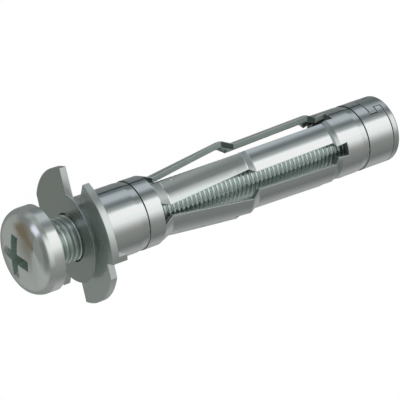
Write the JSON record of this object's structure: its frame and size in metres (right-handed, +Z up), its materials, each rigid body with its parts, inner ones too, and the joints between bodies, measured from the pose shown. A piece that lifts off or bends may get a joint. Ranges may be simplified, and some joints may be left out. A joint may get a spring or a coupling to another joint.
{
  "type": "metal hollow wall anchor",
  "caption": "Hollow wall anchor: a slotted metal sleeve that folds behind the board, between a two-plate flange with prongs and a round nut, on a pan-head machine screw with a cross recess.",
  "frame": {"origin": "on the screw's axis, in the plane where the flange's back meets the face of the wall board", "axes": "+X along the screw's axis from the head to the tail, +Z up, with the anchor lying on its side on the front flange plate and the tail"},
  "size_m": [0.0745, 0.0216, 0.0212],
  "materials": {
    "screw": "bright zinc plate, satin",
    "flange": "bright zinc plate, satin",
    "sleeve": "bright zinc plate, satin",
    "nut": "bright zinc plate, satin"
  },
  "bodies": {
    "anchor": {"sleeve": "sleeve", "nut": "nut", "front_flange_plate": "flange", "rear_flange_plate": "flange"},
    "screw": {"screw": "screw"}
  },
  "joints": [
    {"name": "screw_turn", "type": "hinge", "parent": "anchor", "child": "screw", "pos_m": [0, 0, 0], "axis": [1, 0, 0], "continuous": true}
  ]
}
